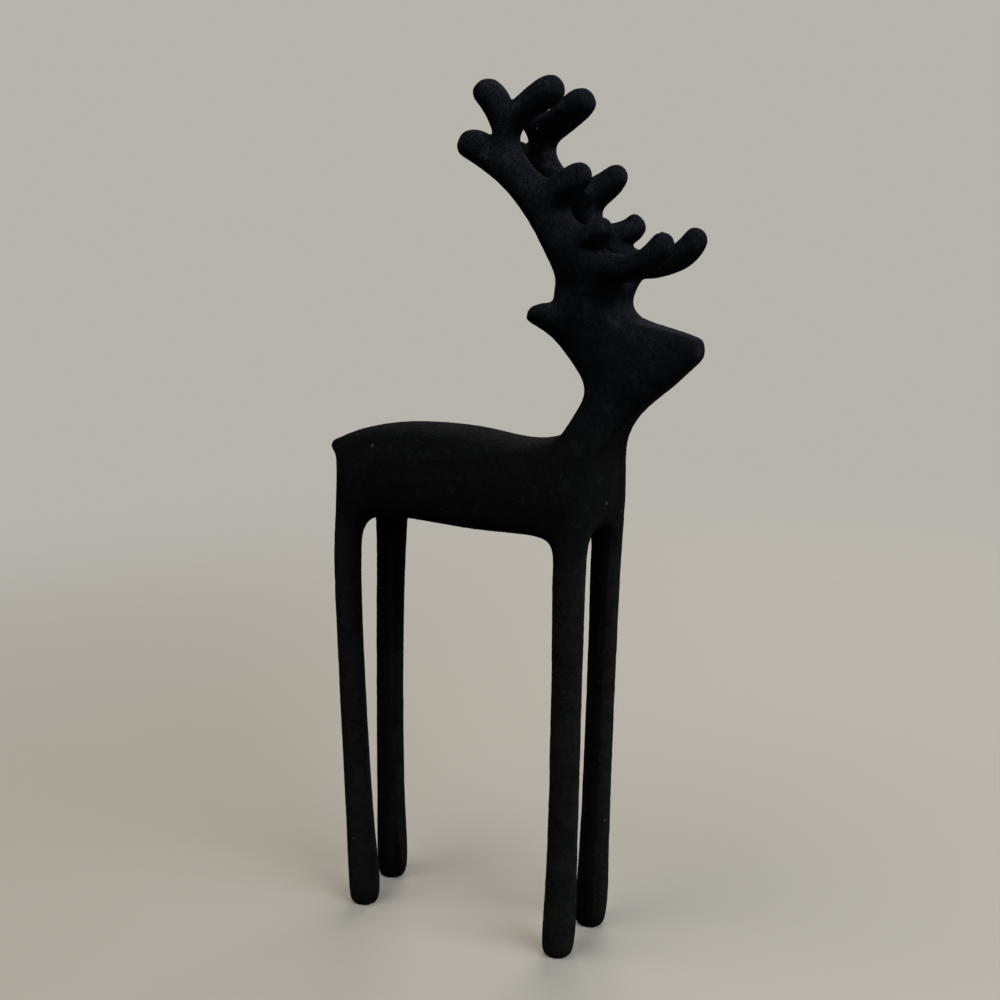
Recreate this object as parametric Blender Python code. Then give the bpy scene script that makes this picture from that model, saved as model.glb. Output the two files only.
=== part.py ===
"""A small reindeer figurine, cast in one piece: a rounded body on four thin legs, a raised neck, a wedge
of a head with two ears, and two branched antlers with blunt tines. +X is forward, +Y is its left side,
+Z is up, and the origin is on the floor under the middle of the figure.

The casting is one closed cage of four-sided faces, smoothed by a Subdivision Surface. Legs, neck, muzzle,
ears and antlers are all pushed out of faces of that cage, so the branches run into each other as they do
in a casting."""

import math

import bmesh
import bpy
from mathutils import Vector

MM = 0.001

# Driving dimensions
HEIGHT = 266.7 * MM             # floor to the top of the antlers
LEG_DIAMETER = 8.9 * MM         # halfway up a leg
FOOT_DIAMETER = 10.9 * MM       # where a leg swells above the floor
BODY_WIDTH = 35.6 * MM          # over the flanks, which the legs are flush with
BODY_DEPTH = 28.0 * MM          # back to belly, at the middle
NECK_WIDTH = 16.8 * MM
MUZZLE_WIDTH = 9.4 * MM         # at the blunt end of the nose
ANTLER_DIAMETER = 9.8 * MM      # of the main stem
TINE_DIAMETER = 7.8 * MM
SMOOTHING = 2                   # times that the cage is subdivided
MOST_TRIANGLES = 9400           # what the smoothed surface is thinned to

# The pose is laid out on a figure this high, in millimetres, and follows the height by this unit
LAYOUT_HEIGHT = 266.7
UNIT = HEIGHT / LAYOUT_HEIGHT
BELLY = 136.2 * UNIT            # height of the belly
BACK = BELLY + BODY_DEPTH

# A square tube of the cage comes out this much thinner once it is smoothed
ROUNDING = 0.925


def start_empty():
    for thing in list(bpy.data.objects):
        bpy.data.objects.remove(thing, do_unlink=True)


def at(x, y, z):
    """A place on the figure, from its place on the layout."""
    return Vector((x, y, z)) * UNIT


def nearest_face(faces, place, facing):
    """The face closest to a place, of those that look the given way."""
    facing = Vector(facing).normalized()
    fit = [face for face in faces if face.normal.dot(facing) > 0.5]
    return min(fit, key=lambda face: (face.calc_center_median() - place).length)


def push(mesh, faces, place_of):
    """Extrudes a patch of faces and puts each new corner where place_of says. Gives the new patch."""
    made = bmesh.ops.extrude_face_region(mesh, geom=faces)["geom"]
    corners = [item for item in made if isinstance(item, bmesh.types.BMVert)]
    bmesh.ops.delete(mesh, geom=faces, context="FACES")
    for corner in corners:
        corner.co = place_of(corner.co.copy())
    mesh.normal_update()
    return [item for item in made if isinstance(item, bmesh.types.BMFace)]


def axes_of(along):
    """Two directions across a limb: out to the figure's left side, and the one square to that."""
    outward = (Vector((0, 1, 0)) - along * along.y).normalized()
    return outward, along.cross(outward)


def grow(mesh, face, stations):
    """Pushes one face out into a limb. Each station is its middle, then half its thickness in the side
    view and half its thickness across. Gives the limb's side faces, root first."""
    sides = []
    middle = face.calc_center_median()
    old_outward, old_upward = axes_of(face.normal)
    for place, thick, across in stations:
        outward, upward = axes_of((place - middle).normalized())

        def corner_of(old):
            offset = old - middle
            side = math.copysign(across, offset.dot(old_outward))
            rise = math.copysign(thick, offset.dot(old_upward))
            return place + outward * side + upward * rise

        face = push(mesh, [face], corner_of)[0]
        sides += [other for edge in face.edges for other in edge.link_faces if other != face]
        middle, old_outward, old_upward = place, outward, upward
    return sides


# Body

FLANK = BODY_WIDTH / 2
LEG_INNER = FLANK - LEG_DIAMETER / ROUNDING * 1.05
RUMP_X, HAUNCH_X, SHOULDER_X, CHEST_X = -36.8 * UNIT, -27.4 * UNIT, 40.6 * UNIT, 52.4 * UNIT

# Along the body: x, rise of the back, rise of the belly, flank as a share of the full one
BODY_STATIONS = (
    (RUMP_X, -3.0 * UNIT, 1.3 * UNIT, 0.94),
    (HAUNCH_X, 0.9 * UNIT, 1.3 * UNIT, 0.97),
    (-11.0 * UNIT, 2.0 * UNIT, 1.4 * UNIT, 0.99),
    (9.0 * UNIT, 1.1 * UNIT, -0.2 * UNIT, 1.0),
    (25.0 * UNIT, -2.5 * UNIT, -0.2 * UNIT, 1.0),
    (SHOULDER_X, 1.3 * UNIT, 0.2 * UNIT, 1.02),
    (CHEST_X, -1.8 * UNIT, 0.2 * UNIT, 1.03),
)
SHOULDER_DROP = 3.6 * UNIT      # the back is this much lower at the flanks
BACK_TUCK, BELLY_TUCK = 0.84, 0.98      # the flank's edges come in by these shares
RUMP_BULGE = 5.0 * UNIT         # the rump is this much fuller in the middle
RUMP_SLOPE = 2.3 * UNIT         # and its upper corners are this much further forward
CHEST_UNDERCUT = 1.6 * UNIT     # the chest's lower corners are this much further back


def body_ring(mesh, x, back, belly, flank, bulge=0.0, slope=0.0, undercut=0.0):
    """One cross-section of the body: three faces above and below, two on each flank."""
    y_out, y_in = flank, LEG_INNER
    flank_back = undercut / 2 - slope / 2
    rows = (
        (-y_out * BACK_TUCK, back - SHOULDER_DROP, -slope), (-y_in, back, bulge),
        (y_in, back, bulge), (y_out * BACK_TUCK, back - SHOULDER_DROP, -slope),
        (y_out, (back + belly) / 2, flank_back),
        (y_out * BELLY_TUCK, belly, undercut), (y_in, belly, bulge + undercut),
        (-y_in, belly, bulge + undercut), (-y_out * BELLY_TUCK, belly, undercut),
        (-y_out, (back + belly) / 2, flank_back),
    )
    return [mesh.verts.new((x - push_back, y, z)) for y, z, push_back in rows]


def cap(mesh, ring, inner, flip):
    """Closes a cross-section with three columns of two faces. inner holds its two middle corners."""
    left, right = inner
    faces = (
        (ring[0], ring[1], left, ring[9]), (ring[1], ring[2], right, left),
        (ring[2], ring[3], ring[4], right), (ring[9], left, ring[7], ring[8]),
        (left, right, ring[6], ring[7]), (right, ring[4], ring[5], ring[6]),
    )
    for corners in faces:
        mesh.faces.new(corners[::-1] if flip else corners)


def make_body(mesh):
    rings = []
    for x, back, belly, flank in BODY_STATIONS:
        bulge, slope = (RUMP_BULGE, RUMP_SLOPE) if x == RUMP_X else (0.0, 0.0)
        undercut = CHEST_UNDERCUT if x == CHEST_X else 0.0
        rings.append(body_ring(mesh, x, BACK + back, BELLY + belly, FLANK * flank, bulge, slope, undercut))
    for first, second in zip(rings, rings[1:]):
        for i in range(len(first)):
            j = (i + 1) % len(first)
            mesh.faces.new((first[j], first[i], second[i], second[j]))
    for ring, bulge, flip in ((rings[0], RUMP_BULGE, False), (rings[-1], 0.0, True)):
        middle = (ring[4].co + ring[9].co) / 2
        inner = [mesh.verts.new((middle.x - bulge, y, middle.z)) for y in (-LEG_INNER, LEG_INNER)]
        cap(mesh, ring, inner, flip)
    mesh.normal_update()
    bmesh.ops.recalc_face_normals(mesh, faces=mesh.faces)


# Tail

TAIL_DROP = 6.0 * UNIT          # its root's middle, below the back
# Root to tip: x and z, half its thickness and half its width
TAIL_STATIONS = (
    ((-44.5, 157.6), 2.5, 4.6),
    ((-46.9, 156.8), 2.2, 3.2),
)


def make_tail(mesh):
    face = nearest_face(mesh.faces, Vector((RUMP_X, 0, BACK - TAIL_DROP)), (-1, 0, 0))
    grow(mesh, face, [(at(x, 0, z), half * UNIT, half_width * UNIT)
                      for (x, z), half, half_width in TAIL_STATIONS])


# Legs

# From the belly down: share of the way to the floor, the diameter as a share from leg to foot, the share
# of the leg's bow, and the share of the sole's setback
LEG_STATIONS = (
    (0.07, 0.25, 0.2, 0.0), (0.25, 0.0, 0.8, 0.0), (0.52, 0.0, 1.0, 0.0), (0.78, 0.2, 0.8, 0.0),
    (0.925, 0.95, 0.3, 0.0), (0.99, 0.75, 0.0, 0.8),
)
# Each leg: x under the belly, x and y of its foot, its bow, and how much thicker it is at the top, as
# cast legs are never quite alike
LEGS = (
    (-34.9, -37.4, -9.2, -1.1, -0.06), (-33.2, -39.6, 11.0, -1.4, 0.07),
    (44.9, 36.8, -9.8, 0.5, 0.07), (45.1, 37.9, 11.6, 0.2, 0.02),
)
SOLE_BACK = 0.6 * UNIT          # the sole is this much further back than the foot
SOLE_SHARE = 0.64               # the sole's width, as a share of the foot's
FOOT_UNDERCUT = 1.6 * UNIT      # the cage runs this far below the floor, and is trimmed flat there


def make_legs(mesh):
    for x_top, x_foot, y_foot, bow, thicker in LEGS:
        root = Vector((x_top * UNIT, math.copysign((LEG_INNER + FLANK) / 2, y_foot), BELLY))
        face = nearest_face(mesh.faces, root, (0, 0, -1))
        top = face.calc_center_median()
        top.x = x_top * UNIT
        foot = Vector((x_foot * UNIT, y_foot * UNIT, 0))
        stations = []
        for share, swell, bowed, set_back in LEG_STATIONS:
            half = (LEG_DIAMETER + (FOOT_DIAMETER - LEG_DIAMETER) * swell) / 2 / ROUNDING
            half *= 1 + thicker * (1 - share)
            aside = Vector((bow * UNIT * bowed - SOLE_BACK * set_back, 0, 0))
            stations.append((top.lerp(foot, share) + aside, half, half))
        sole_half = SOLE_SHARE * FOOT_DIAMETER / 2 / ROUNDING
        stations.append((foot - Vector((SOLE_BACK, 0, FOOT_UNDERCUT)), sole_half, sole_half))
        grow(mesh, face, stations)


# Neck and head

NECK = NECK_WIDTH / 2
# From the shoulders up: x and z of the back, x and z of the front, half-width over all, and of the
# middle strip, and how much of the width the front keeps
NECK_STATIONS = (
    ((41.8, 170.5), (57.8, 168.0), NECK, 0.42 * NECK, 0.88),
    ((49.1, 179.4), (62.2, 173.4), NECK * 1.02, 0.42 * NECK, 0.78),
    ((42.8, 187.7), (62.2, 186.4), NECK * 1.16, 0.40 * NECK, 0.80),
    ((37.4, 194.9), (58.9, 199.1), NECK * 1.40, 0.30 * NECK, 0.84),
    ((38.0, 203.8), (56.6, 204.6), NECK * 1.54, 0.20 * NECK, 0.95),
    ((38.5, 209.4), (61.2, 210.9), NECK * 1.58, 0.16 * NECK, 1.0),
)
# Along the muzzle: x and z of its lower, middle and upper row, and its half-width
MUZZLE_STATIONS = (
    ((71.0, 179.8), (71.6, 188.0), (71.0, 196.8), 0.5 * (NECK + MUZZLE_WIDTH / 2)),
    ((79.0, 186.9), (79.6, 190.3), (79.0, 194.5), MUZZLE_WIDTH / 2),
    ((80.4, 188.1), (80.6, 190.5), (80.4, 193.7), MUZZLE_WIDTH / 2 * 0.9),
)
MUZZLE_ROWS = (0.72, 1.0, 0.82)     # how much of the width each row keeps
MUZZLE_STRIP = 0.42                 # width of the middle strip, as a share
MUZZLE_LIMIT = 0.5                  # a corner further out than this share is an outer one


def make_neck(mesh):
    middle_x = (SHOULDER_X + CHEST_X) / 2
    patch = [nearest_face(mesh.faces, Vector((middle_x, y, BACK)), (0, 0, 1)) for y in (-FLANK, 0, FLANK)]
    inner_limit = (LEG_INNER + FLANK) / 2
    for (back_x, back_z), (front_x, front_z), outer, inner, front_share in NECK_STATIONS:

        def corner_of(old):
            front = old.x > middle_x
            y = outer if abs(old.y) > inner_limit else inner
            x, z = (front_x, front_z) if front else (back_x, back_z)
            return Vector((x * UNIT, math.copysign(y * front_share if front else y, old.y), z * UNIT))

        patch = push(mesh, patch, corner_of)
        middle_x = (back_x + front_x) / 2 * UNIT
        inner_limit = (outer * front_share + inner) / 2
    return patch


def make_muzzle(mesh):
    rows = [NECK_STATIONS[i][1] for i in (1, 2, 3)]
    outer, inner, front_share = NECK_STATIONS[2][2:]
    outer, inner = outer * front_share, inner * front_share
    patch = []
    for (x_low, z_low), (x_high, z_high) in zip(rows, rows[1:]):
        for y in (-outer, 0, outer):
            place = Vector(((x_low + x_high) / 2 * UNIT, y, (z_low + z_high) / 2 * UNIT))
            patch.append(nearest_face(mesh.faces, place, (1, 0, 0)))
    heights = [z * UNIT for x, z in rows]
    limit = (outer + inner) / 2
    for low, middle, high, half in MUZZLE_STATIONS:

        def corner_of(old):
            row = min(range(3), key=lambda i: abs(old.z - heights[i]))
            x, z = (low, middle, high)[row]
            y = half if abs(old.y) > limit else MUZZLE_STRIP * half
            return Vector((x * UNIT, math.copysign(y * MUZZLE_ROWS[row], old.y), z * UNIT))

        patch = push(mesh, patch, corner_of)
        heights = [z * UNIT for x, z in (low, middle, high)]
        limit = MUZZLE_LIMIT * half


# The right ear's root, then root to tip: x, y and z, half its height and half its width
EAR_ROOT = (40.5, 8.0, 200.0)
EAR_STATIONS = (
    ((36.7, 10.8, 202.2), 6.2, 3.4),
    ((32.9, 13.4, 202.0), 2.8, 2.5),
)


def make_ears(mesh):
    for side in (-1, 1):
        x, y, z = EAR_ROOT
        face = nearest_face(mesh.faces, at(x, side * y, z), (-1, 0, 0))
        grow(mesh, face, [(at(x, side * y, z), half * UNIT, half_width * UNIT)
                          for (x, y, z), half, half_width in EAR_STATIONS])


# Antlers

STEM = ANTLER_DIAMETER / 2 / ROUNDING
TINE = TINE_DIAMETER / 2 / ROUNDING
# The right antler's parts, root to tip: x, y, z and thickness as a share of the stem's or a tine's
STEM_STATIONS = (
    (46.0, 7.8, 216.0, 1.38),
    (42.0, 8.6, 222.4, 1.23),
    (38.9, 9.3, 228.2, 1.12),
    (33.9, 10.0, 234.8, 1.02),
    (28.6, 10.5, 241.0, 1.02),
    (26.5, 10.8, 249.8, 0.55),
    (31.0, 10.8, 257.4, 0.80),
    (37.3, 10.5, 260.9, 0.94),
    (44.6, 10.3, 264.65, 0.86),
)
# Each tine: the way that its root faces on the stem, and its own stations
TINES = {
    "brow": ((1, 0, 0.3), ((61.0, 9.8, 213.3, 1.14), (67.2, 11.2, 214.9, 0.97),
                           (72.2, 11.9, 217.7, 1.01), (76.4, 12.0, 223.5, 0.88))),
    "second": ((1, 0, 0.3), ((53.6, 11.2, 222.0, 1.12), (58.6, 12.6, 227.0, 1.0))),
    "third": ((1, 0, 0.3), ((45.4, 11.6, 236.7, 1.18), (53.2, 12.4, 241.5, 0.96))),
    "back": ((-1, 0, 0), ((17.8, 11.2, 249.0, 1.30), (11.3, 11.6, 250.4, 1.05))),
    "crown": ((-1, 0, 0.4), ((25.0, 11.8, 259.9, 1.20), (18.8, 12.6, 266.33, 1.22))),
}
# How the left antler differs from it, station by station: x, z and share
LEFT_STEM = (
    (0.0, 0.0, 0.0), (0.3, -0.8, 0.0), (0.8, -0.9, 0.04), (0.3, -0.3, 0.0), (-0.8, -0.6, -0.02),
    (0.3, -1.2, 0.07), (0.7, -3.0, 0.13), (-0.3, -2.5, 0.05), (-0.9, -2.1, 0.0),
)
LEFT_TINES = {
    "brow": ((0.0, 0.0, 0.0), (0.1, -0.1, 0.05), (0.1, 0.0, 0.07), (0.1, 0.4, 0.05)),
    "second": ((1.2, 0.9, 0.01), (-0.7, 0.4, 0.05)),
    "third": ((1.6, -0.7, -0.04), (-0.3, 0.1, -0.02)),
    "back": ((-0.6, -2.6, 0.0), (-0.6, -2.4, 0.0)),
    "crown": ((-0.9, -3.1, 0.06), (-1.0, -3.0, 0.0)),
}


def antler_path(path, left_path, side, radius):
    """The stations of a stem or a tine on one side, as grow takes them."""
    stations = []
    for (x, y, z, share), (left_x, left_z, left_share) in zip(path, left_path):
        if side > 0:
            x, z, share = x + left_x, z + left_z, share + left_share
        stations.append((at(x, side * y, z), radius * share, radius * share))
    return stations


def make_antler(mesh, root, side):
    stem = grow(mesh, root, antler_path(STEM_STATIONS, LEFT_STEM, side, STEM))
    paths = {name: antler_path(path, LEFT_TINES[name], side, TINE) for name, (facing, path) in TINES.items()}
    starts = {name: nearest_face(stem, paths[name][0][0], facing) for name, (facing, path) in TINES.items()}
    for name, path in paths.items():
        grow(mesh, starts[name], path)


# The whole casting

def make_casting():
    mesh = bmesh.new()
    make_body(mesh)
    make_tail(mesh)
    make_legs(mesh)
    crown = make_neck(mesh)
    make_muzzle(mesh)
    make_ears(mesh)
    crown.sort(key=lambda face: face.calc_center_median().y)
    make_antler(mesh, crown[0], -1)
    make_antler(mesh, crown[-1], 1)
    data = bpy.data.meshes.new("reindeer")
    mesh.to_mesh(data)
    mesh.free()
    figure = bpy.data.objects.new("reindeer", data)
    bpy.context.collection.objects.link(figure)
    return figure


def smooth(figure):
    rounding = figure.modifiers.new("rounding", "SUBSURF")
    rounding.levels = SMOOTHING
    rounding.render_levels = SMOOTHING
    thinning = figure.modifiers.new("thinning", "DECIMATE")
    thinning.ratio = MOST_TRIANGLES / (2 * len(figure.data.polygons) * 4 ** SMOOTHING)
    thinning.use_symmetry = True
    thinning.symmetry_axis = "Y"
    bpy.context.view_layer.objects.active = figure
    for modifier in (rounding, thinning):
        bpy.ops.object.modifier_apply(modifier=modifier.name)


def stand_on_floor(figure):
    """Flattens the undersides of the feet and puts the origin under the middle of the figure."""
    points = figure.data.vertices
    middle = Vector([
        (min(point.co[axis] for point in points) + max(point.co[axis] for point in points)) / 2
        for axis in (0, 1)] + [0])
    for point in points:
        point.co -= middle
        point.co.z = max(point.co.z, 0.0)
    figure.data.shade_smooth()


def blackened_zinc():
    material = bpy.data.materials.new("blackened zinc")
    material.use_nodes = True
    shader = material.node_tree.nodes["Principled BSDF"]
    shader.inputs["Base Color"].default_value = (0.012, 0.012, 0.013, 1)
    shader.inputs["Roughness"].default_value = 0.85
    shader.inputs["Metallic"].default_value = 0.0
    return material


def main():
    start_empty()
    figure = make_casting()
    smooth(figure)
    stand_on_floor(figure)
    figure.data.materials.append(blackened_zinc())


main()
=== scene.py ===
# %% [markdown]
# A small reindeer figurine, cast in zinc and blackened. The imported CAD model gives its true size, pose and
# outline. What it lacks is the skin of the real thing: the faceted CAD solid is turned here into a smooth
# casting with slight hand-worked unevenness and a fine sandy grain, in a dull black finish.

# %% Load the fixed frame
import math

import bpy
from mathutils import Matrix, Vector
from mathutils.bvhtree import BVHTree


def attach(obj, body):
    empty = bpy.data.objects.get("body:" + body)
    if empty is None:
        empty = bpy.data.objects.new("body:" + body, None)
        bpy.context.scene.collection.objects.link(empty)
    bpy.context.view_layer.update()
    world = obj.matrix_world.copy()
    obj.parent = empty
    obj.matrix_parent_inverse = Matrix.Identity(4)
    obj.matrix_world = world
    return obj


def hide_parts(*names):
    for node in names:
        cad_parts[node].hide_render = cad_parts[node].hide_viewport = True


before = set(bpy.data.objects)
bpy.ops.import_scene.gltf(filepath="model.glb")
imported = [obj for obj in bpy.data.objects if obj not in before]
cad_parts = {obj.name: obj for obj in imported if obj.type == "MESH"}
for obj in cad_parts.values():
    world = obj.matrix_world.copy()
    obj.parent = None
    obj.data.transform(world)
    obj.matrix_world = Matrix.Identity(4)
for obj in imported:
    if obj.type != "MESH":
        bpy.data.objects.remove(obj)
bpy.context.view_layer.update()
MM = 0.001

# %% [markdown]
# The camera comes first, so that every later step can be judged through it. The figure was photographed from
# a hand's height above its back, a third of the way round from its side towards its face. A camera looks
# down its own -Z, so it is first rolled, then tilted up from looking straight down, then turned about the
# vertical.

# %% The camera
CAMERA_PLACE = Vector((201.36, -357.9, 233.9)) * MM
HEADING, DOWNWARD, ROLL = math.radians(29.61), math.radians(12.44), math.radians(-1.71)
LENS_MM, SENSOR_MM = 49.22, 36.0
NEAREST_SEEN = 10 * MM

camera_data = bpy.data.cameras.new("camera")
camera_data.lens = LENS_MM
camera_data.sensor_width = SENSOR_MM
camera_data.clip_start = NEAREST_SEEN
camera = bpy.data.objects.new("camera", camera_data)
bpy.context.scene.collection.objects.link(camera)
camera.matrix_world = (Matrix.Translation(CAMERA_PLACE) @ Matrix.Rotation(HEADING, 4, "Z")
                       @ Matrix.Rotation(math.pi / 2 - DOWNWARD, 4, "X") @ Matrix.Rotation(ROLL, 4, "Z"))
bpy.context.scene.camera = camera
print("camera is", round(CAMERA_PLACE.length / MM), "mm from the figure's origin")


# %% [markdown]
# Operators act on whatever is selected, and the CAD node comes in selected. Two small helpers keep that in
# hand: one selects a single object, and one applies a modifier as the button in the panel would.

# %% Helpers for operators
def select_only(thing):
    bpy.ops.object.select_all(action="DESELECT")
    thing.select_set(True)
    bpy.context.view_layer.objects.active = thing


def apply_modifier(thing, name, kind, **settings):
    modifier = thing.modifiers.new(name, kind)
    for key, value in settings.items():
        setattr(modifier, key, value)
    select_only(thing)
    bpy.ops.object.modifier_apply(modifier=modifier.name)


def count(thing):
    return sum(len(face.vertices) - 2 for face in thing.data.polygons)


# %% [markdown]
# The casting starts as a copy of the CAD node's mesh, because its outline is already right. That mesh is
# loose triangles, so its doubles are merged. A voxel remesh then gives it an even skin of small four-sided
# faces, which can take a soft relief all over. Its facets would still show, so they are smoothed away. Plain
# smoothing also shrinks thin legs and tines. So each smoothing step is followed by a slightly larger one in
# the opposite direction, which keeps the thickness.

# %% An even skin over the CAD shape
MERGE_DISTANCE = 0.01 * MM
SKIN_VOXEL = 0.78 * MM
SMOOTHING_ROUNDS = 14
SMOOTH_IN, SMOOTH_OUT = 0.62, -0.64

cast = bpy.data.objects.new("cast_reindeer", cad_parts["reindeer"].data.copy())
bpy.context.scene.collection.objects.link(cast)
cast.data.materials.clear()
select_only(cast)
bpy.ops.object.mode_set(mode="EDIT")
bpy.ops.mesh.select_all(action="SELECT")
bpy.ops.mesh.remove_doubles(threshold=MERGE_DISTANCE)
bpy.ops.object.mode_set(mode="OBJECT")
apply_modifier(cast, "skin", "REMESH", mode="VOXEL", voxel_size=SKIN_VOXEL, adaptivity=0.0)
select_only(cast)
bpy.ops.object.mode_set(mode="EDIT")
bpy.ops.mesh.select_all(action="SELECT")
for turn in range(SMOOTHING_ROUNDS):
    bpy.ops.mesh.vertices_smooth(factor=SMOOTH_IN)
    bpy.ops.mesh.vertices_smooth(factor=SMOOTH_OUT)
bpy.ops.object.mode_set(mode="OBJECT")
print("skin of the casting:", count(cast), "triangles")


# %% [markdown]
# Relief is kept off the undersides of the feet, so that the figure still stands flat. A vertex group says
# how much relief each point takes: none on the floor, all of it a few millimetres higher.

# %% Where the relief may act
FOOT_CLEAR, FOOT_FULL = 0.6 * MM, 4.0 * MM


def weight_group(thing, name, weight_at):
    group = thing.vertex_groups.new(name=name)
    for point in thing.data.vertices:
        weight = weight_at(point.co)
        if weight > 0:
            group.add([point.index], weight, "REPLACE")


def ramp(value, low, high):
    """0 below low, 1 above high, and a smooth rise between."""
    share = min(max((value - low) / (high - low), 0.0), 1.0)
    return share * share * (3 - 2 * share)


weight_group(cast, "above_floor", lambda place: ramp(place.z, FOOT_CLEAR, FOOT_FULL))

# %% [markdown]
# The figure looks like a sand casting dressed by hand, and such a thing is never perfectly even. Broad, low
# swellings come from the hand work, a finer orange-peel unevenness from the mould, and the finest from its
# sand. All three are real relief, made with Displace modifiers that read procedural cloud textures, the
# broadest first.

# %% Unevenness of the casting
# Each relief: its name, the width of its swellings, its height from lowest to highest, and its detail
RELIEF = (
    ("hand dressing", 17 * MM, 0.24 * MM, 1),
    ("mould unevenness", 5.0 * MM, 0.16 * MM, 2),
    ("sand grain", 1.8 * MM, 0.16 * MM, 1),
)


def relief_texture(name, size, depth):
    texture = bpy.data.textures.new(name, "CLOUDS")
    texture.noise_scale = size
    texture.noise_depth = depth
    texture.noise_basis = "ORIGINAL_PERLIN"
    return texture


for name, size, height, depth in RELIEF:
    apply_modifier(cast, name, "DISPLACE", texture=relief_texture(name, size, depth), strength=height,
                   mid_level=0.5, texture_coords="LOCAL", vertex_group="above_floor")
select_only(cast)
bpy.ops.object.shade_smooth()
reliefs = [height / MM for name, size, height, depth in RELIEF]
print("relief from", max(reliefs), "mm down to", min(reliefs), "mm")

# %% [markdown]
# A figure on four feet rocks unless their soles lie in one plane, and the smoothing left them very slightly
# wavy. Every point in a thin band at the floor is selected, and the band is scaled to no height at all,
# which presses it flat.

# %% Flat soles
SOLE_BAND = 0.12 * MM

bpy.ops.object.mode_set(mode="EDIT")
bpy.ops.mesh.select_all(action="DESELECT")
bpy.ops.object.mode_set(mode="OBJECT")
for point in cast.data.vertices:
    point.select = point.co.z < SOLE_BAND
print("points pressed flat:", sum(point.select for point in cast.data.vertices))
bpy.ops.object.mode_set(mode="EDIT")
bpy.ops.transform.resize(value=(1, 1, 0), center_override=(0, 0, 0))
bpy.ops.object.mode_set(mode="OBJECT")


# %% [markdown]
# Dust falls from above. It reaches the back and the tops of the tines, and hardly gets into the crotches of
# the antlers or under the belly. Those places, where shade falls, are painted a deep black as painted shade,
# and the open tops get painted light along with their dust. So each point of the skin is asked how much
# open sky it sees. Rays go out from it over the upper half of the sky, and those that meet nothing count by
# how squarely they fall. A level place in the open gets 1, and a clear upright face about a half. The answer
# is kept as an attribute of the mesh, which the finish reads.

# %% How much sky each point sees
SKY_RAYS = 24
SKY_REACH = 90 * MM
RAY_START = 0.6 * MM


def sky_directions(number):
    """Directions spread evenly over the upper half of a sphere, along a spiral."""
    golden_turn = math.pi * (3 - math.sqrt(5))
    directions = []
    for i in range(number):
        rise = (i + 0.5) / number
        level = math.sqrt(1 - rise * rise)
        turn = golden_turn * i
        directions.append(Vector((level * math.cos(turn), level * math.sin(turn), rise)))
    return directions


def open_sky(thing):
    tree = BVHTree.FromPolygons([point.co for point in thing.data.vertices],
                                [face.vertices for face in thing.data.polygons])
    sky = sky_directions(SKY_RAYS)
    full = sum(direction.z for direction in sky)
    values = []
    for point in thing.data.vertices:
        start = point.co + point.normal * RAY_START
        seen = 0.0
        for direction in sky:
            fall = direction.dot(point.normal)
            if fall > 0 and tree.ray_cast(start, direction, SKY_REACH)[0] is None:
                seen += fall
        values.append(seen / full)
    return values


sky_seen = open_sky(cast)
cast.data.attributes.new("open_sky", "FLOAT", "POINT").data.foreach_set("value", sky_seen)
print("open sky from", round(min(sky_seen), 2), "to", round(max(sky_seen), 2))

# %% [markdown]
# The finish is a dull black skin over zinc, with hardly any shine. A plain black would look like a hole in
# the picture, so five things give it a surface: a mottling of blacks, a sandy grain in the bump and the
# colour, patches where fine pale dust has settled in that grain, frosty smears, and a few bare specks of
# zinc. Dust and smears lie mostly on the antlers and the head. Light and shade are painted in as well: the
# black is painted deeper where a point sees little sky, as painted shade, and the dust patches on the tops
# that see the sky also carry painted light. On the head and the antlers a cooler, paler black is a painted
# cool light, and everything above the legs is painted darker than the legs, as painted shade. Everything
# reads Object coordinates, in metres, so a noise with a scale of 1000 makes features about a millimetre
# wide. A span says which part of a noise or a height counts, and the shares what its two ends become.

# %% The blackened zinc
# The first black below is the dark end of the mottle and of the painted shade, and the second is the pale
# end of the mottle and the lit end of the painted shade.
DEEP_BLACK = (0.0010, 0.0010, 0.0010, 1)
PALE_LIT_BLACK = (0.0088, 0.0085, 0.0079, 1)
# A painted cool light: the cooler, paler black of the head and the antlers.
COOL_LIT_BLACK = (0.0130, 0.0158, 0.0245, 1)
# Dust, which on the tops that see the sky is also painted light.
DUST_AND_LIGHT_GREY = (0.0148, 0.0163, 0.0198, 1)
FROST_GREY = (0.0270, 0.0300, 0.0345, 1)
BARE_ZINC = (0.050, 0.052, 0.054, 1)
# Each noise: its scale, its detail and its roughness
MOTTLE, GRAIN, PITS = (170, 6, 0.85), (2100, 4, 0.6), (800, 2, 0.5)
PATCHES, SMEARS = (55, 4, 0.6), (210, 5, 0.72)
SPECKS_PER_M = 110
NONE_TO_ALL, ALL_TO_NONE = (0, 1), (1, 0)
MOTTLE_SPAN, MOTTLE_SHARES = (0.36, 0.64), (0.2, 0.8)
# Heights in metres between which the dust grows, the painted shade above the legs gives way to the paler
# legs, and the painted cool light comes in on the head
DUSTY_HEIGHTS, DUSTY_SHARES = (0.165, 0.235), (0.25, 1)
LEG_HEIGHTS, BODY_SHADE_SHARES = (0.145, 0.120), (0.30, 1)
HEAD_HEIGHTS = (0.166, 0.182)
# How much open sky lifts the painted shade, and lets the dust and its painted light settle
SHADED_TO_LIT_SKY, DUST_AND_LIGHT_SKY = (0.26, 0.52), (0.32, 0.66)
PATCH_SPAN, PATCH_SHARES = (0.42, 0.64), (0.45, 1)
DUST_GRAIN_SPAN = (0.40, 0.66)
SMEAR_SPAN, SMEAR_SHARES = (0.55, 0.70), (0, 0.7)
SMEAR_GRAIN_SPAN, SMEAR_GRAIN_SHARES = (0.42, 0.62), (0.3, 1)
SPECK_RADII, SPECK_PITS = (0.02, 0.07), (0.45, 0.6)
GLOSS_SPAN, ROUGHNESSES = (0.3, 0.7), (0.72, 0.95)
BUMP_STRENGTH, PIT_DEPTH, GRAIN_DEPTH = 0.9, 0.55 * MM, 0.30 * MM
SHINE = 0.008


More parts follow.
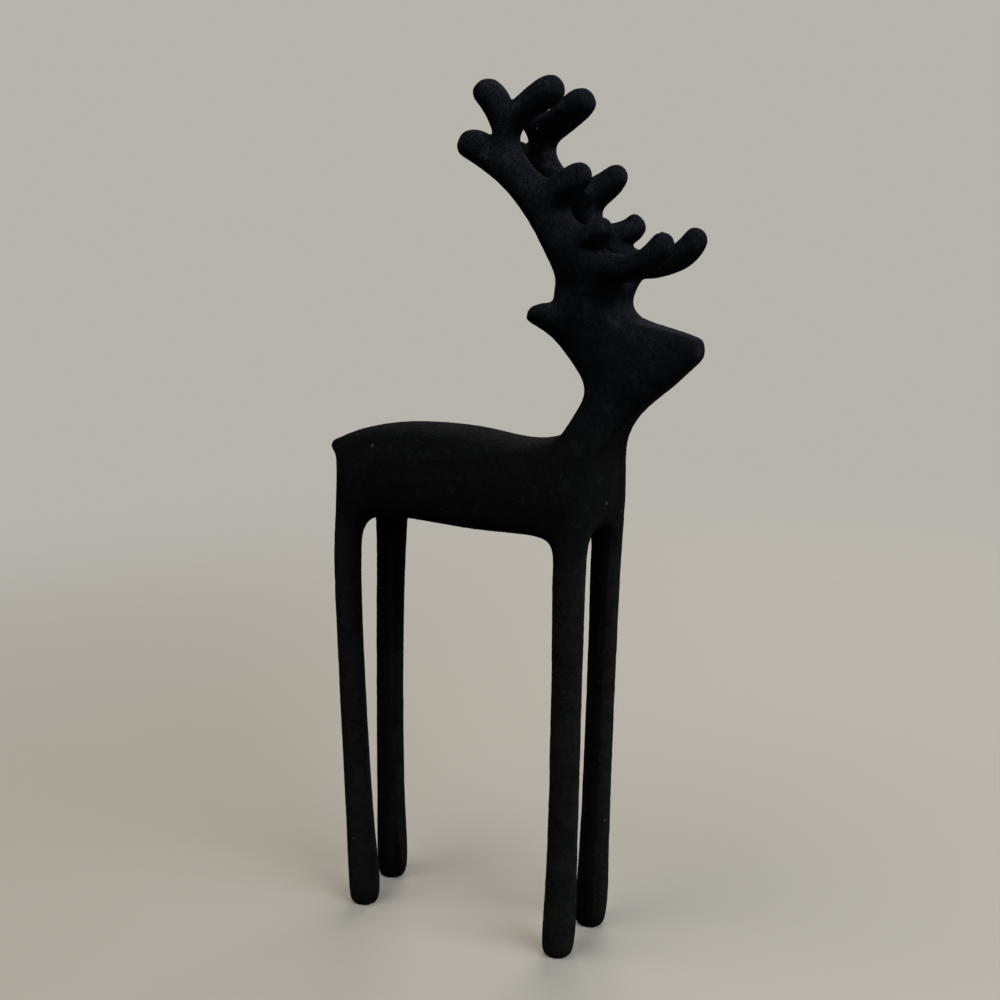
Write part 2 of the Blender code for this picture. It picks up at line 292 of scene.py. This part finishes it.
def blackened_zinc():
    material = bpy.data.materials.new("blackened zinc")
    material.use_nodes = True
    nodes, links = material.node_tree.nodes, material.node_tree.links
    shader = nodes["Principled BSDF"]
    place = nodes.new("ShaderNodeTexCoord").outputs["Object"]

    def noise(scale, detail, roughness):
        node = nodes.new("ShaderNodeTexNoise")
        node.inputs["Scale"].default_value = scale
        node.inputs["Detail"].default_value = detail
        node.inputs["Roughness"].default_value = roughness
        links.new(place, node.inputs["Vector"])
        return node.outputs["Fac"]

    def remap(value, span, shares=NONE_TO_ALL):
        node = nodes.new("ShaderNodeMapRange")
        for key, number in zip(("From Min", "From Max", "To Min", "To Max"), span + shares):
            node.inputs[key].default_value = number
        links.new(value, node.inputs["Value"])
        return node.outputs["Result"]

    def times(product, *factors):
        for factor in factors:
            node = nodes.new("ShaderNodeMath")
            node.operation = "MULTIPLY"
            links.new(product, node.inputs[0])
            links.new(factor, node.inputs[1])
            product = node.outputs["Value"]
        return product

    def blend(share, first, second):
        node = nodes.new("ShaderNodeMix")
        node.data_type = "RGBA"
        links.new(share, node.inputs["Factor"])
        for socket, colour in ((node.inputs["A"], first), (node.inputs["B"], second)):
            if isinstance(colour, tuple):
                socket.default_value = colour
            else:
                links.new(colour, socket)
        return node.outputs["Result"]

    def bump(height, depth, below=None):
        node = nodes.new("ShaderNodeBump")
        node.inputs["Strength"].default_value = BUMP_STRENGTH
        node.inputs["Distance"].default_value = depth
        links.new(height, node.inputs["Height"])
        if below is not None:
            links.new(below, node.inputs["Normal"])
        return node.outputs["Normal"]

    grain, pits = noise(*GRAIN), noise(*PITS)
    along = nodes.new("ShaderNodeSeparateXYZ")
    links.new(place, along.inputs["Vector"])
    height = along.outputs["Z"]
    attribute = nodes.new("ShaderNodeAttribute")
    attribute.attribute_name = "open_sky"
    sky = attribute.outputs["Fac"]
    upper = remap(height, DUSTY_HEIGHTS, DUSTY_SHARES)
    # Painted shade: the black goes deep where a point sees little sky.
    painted_sky_shade = remap(sky, SHADED_TO_LIT_SKY)

    mottle = remap(noise(*MOTTLE), MOTTLE_SPAN, MOTTLE_SHARES)
    # Painted shade: everything above the legs is painted darker than the legs.
    leg_light_body_shade = remap(height, LEG_HEIGHTS, BODY_SHADE_SHARES)
    # Painted light: a cooler, paler black on the head and the antlers stands for a cool light.
    paler = blend(remap(height, HEAD_HEIGHTS), PALE_LIT_BLACK, COOL_LIT_BLACK)
    # The mottle is the thing's own tone; the other two factors are painted shade.
    mottle_and_shade = blend(times(mottle, painted_sky_shade, leg_light_body_shade), DEEP_BLACK, paler)

    patches = remap(noise(*PATCHES), PATCH_SPAN, PATCH_SHARES)
    # Dust in the grain, which on the tops that see the sky is also painted light.
    dust_and_top_light = times(upper, patches, remap(sky, DUST_AND_LIGHT_SKY), remap(grain, DUST_GRAIN_SPAN))
    dusted_and_lit = blend(dust_and_top_light, mottle_and_shade, DUST_AND_LIGHT_GREY)

    smears = remap(noise(*SMEARS), SMEAR_SPAN, SMEAR_SHARES)
    frost = times(smears, upper, painted_sky_shade, remap(grain, SMEAR_GRAIN_SPAN, SMEAR_GRAIN_SHARES))
    frosted = blend(frost, dusted_and_lit, FROST_GREY)

    cells = nodes.new("ShaderNodeTexVoronoi")
    cells.inputs["Scale"].default_value = SPECKS_PER_M
    links.new(place, cells.inputs["Vector"])
    speck = times(remap(cells.outputs["Distance"], SPECK_RADII, ALL_TO_NONE), remap(pits, SPECK_PITS))
    links.new(blend(speck, frosted, BARE_ZINC), shader.inputs["Base Color"])

    links.new(remap(grain, GLOSS_SPAN, ROUGHNESSES), shader.inputs["Roughness"])
    links.new(bump(grain, GRAIN_DEPTH, bump(pits, PIT_DEPTH)), shader.inputs["Normal"])
    shader.inputs["Metallic"].default_value = 0.0
    shader.inputs["Diffuse Roughness"].default_value = 1.0
    shader.inputs["Specular IOR Level"].default_value = SHINE
    return material


cast.data.materials.append(blackened_zinc())
print("finish:", cast.data.materials[0].name)

# %% [markdown]
# The figure stands on a plain pale floor. An endless floor would end in a hard horizon line behind the
# figure. So the floor is a disc that turns clear towards its rim, and the world behind it has nearly the
# same colour.

# %% The floor
FLOOR_RADIUS = 0.8
FLOOR_SOLID_TO, FLOOR_CLEAR_FROM = 0.13, 0.75
FLOOR_SEGMENTS = 128
FLOOR_COLOUR = (0.325, 0.300, 0.262, 1)
FLOOR_ROUGHNESS, FLOOR_SHINE = 0.7, 0.2


def floor_finish():
    material = bpy.data.materials.new("pale floor")
    material.use_nodes = True
    nodes, links = material.node_tree.nodes, material.node_tree.links
    shader = nodes["Principled BSDF"]
    shader.inputs["Base Color"].default_value = FLOOR_COLOUR
    shader.inputs["Roughness"].default_value = FLOOR_ROUGHNESS
    shader.inputs["Specular IOR Level"].default_value = FLOOR_SHINE
    place = nodes.new("ShaderNodeTexCoord")
    distance = nodes.new("ShaderNodeVectorMath")
    distance.operation = "LENGTH"
    fade = nodes.new("ShaderNodeMapRange")
    fade.interpolation_type = "SMOOTHSTEP"
    fade.inputs["From Min"].default_value = FLOOR_SOLID_TO
    fade.inputs["From Max"].default_value = FLOOR_CLEAR_FROM
    fade.inputs["To Min"].default_value = 1
    fade.inputs["To Max"].default_value = 0
    links.new(place.outputs["Object"], distance.inputs[0])
    links.new(distance.outputs["Value"], fade.inputs["Value"])
    links.new(fade.outputs["Result"], shader.inputs["Alpha"])
    return material


bpy.ops.object.select_all(action="DESELECT")
bpy.ops.mesh.primitive_circle_add(vertices=FLOOR_SEGMENTS, radius=FLOOR_RADIUS, fill_type="NGON")
floor = bpy.context.active_object
floor.name = "floor"
floor.data.materials.append(floor_finish())

# %% [markdown]
# The light is soft. A wide ceiling lamp hangs high on the camera's side, towards the tail. It lights the
# back and the tops of the tines, and leaves their undersides in shade. A cooler window lights the nose, the
# chest and the fronts of the legs, and a lamp behind keeps the far side readable.

# %% The light
# Each lamp: its name, place, width in metres, power in watts and colour
LIGHTS = (
    ("ceiling", (-0.36, -0.60, 1.15), 1.1, 9.0, (1.0, 0.98, 0.94)),
    ("window", (1.05, -0.30, 0.55), 1.1, 22.0, (0.84, 0.93, 1.0)),
    ("back", (-0.20, 1.10, 0.70), 1.2, 12.0, (1.0, 0.97, 0.92)),
)
AIM = Vector((0.0, 0.0, 0.12))

for name, place, size, power, colour in LIGHTS:
    data = bpy.data.lights.new(name, "AREA")
    data.shape = "DISK"
    data.size = size
    data.energy = power
    data.color = colour
    lamp = bpy.data.objects.new(name, data)
    bpy.context.scene.collection.objects.link(lamp)
    lamp.location = place
    lamp.rotation_euler = (AIM - Vector(place)).to_track_quat("-Z", "Y").to_euler()
    print(name, "lamp:", power, "W")

# %% [markdown]
# A pale world all round would light the figure from every side, and its blacks would turn grey. So the
# world is bright where the camera sees it straight, and dim as a light. The Standard view keeps the blacks
# as deep as they are.

# %% The background
WORLD_COLOUR = (1.0, 0.965, 0.87, 1)
SEEN_STRENGTH, LIGHT_STRENGTH = 0.47, 0.24

world = bpy.data.worlds.new("studio")
world.use_nodes = True
background = world.node_tree.nodes["Background"]
background.inputs["Color"].default_value = WORLD_COLOUR
strength = world.node_tree.nodes.new("ShaderNodeMapRange")
strength.inputs["To Min"].default_value = LIGHT_STRENGTH
strength.inputs["To Max"].default_value = SEEN_STRENGTH
path = world.node_tree.nodes.new("ShaderNodeLightPath")
world.node_tree.links.new(path.outputs["Is Camera Ray"], strength.inputs["Value"])
world.node_tree.links.new(strength.outputs["Result"], background.inputs["Strength"])
bpy.context.scene.world = world
bpy.context.scene.view_settings.view_transform = "Standard"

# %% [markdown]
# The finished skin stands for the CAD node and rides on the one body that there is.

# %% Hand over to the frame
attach(cast, "root")
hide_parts("reindeer")
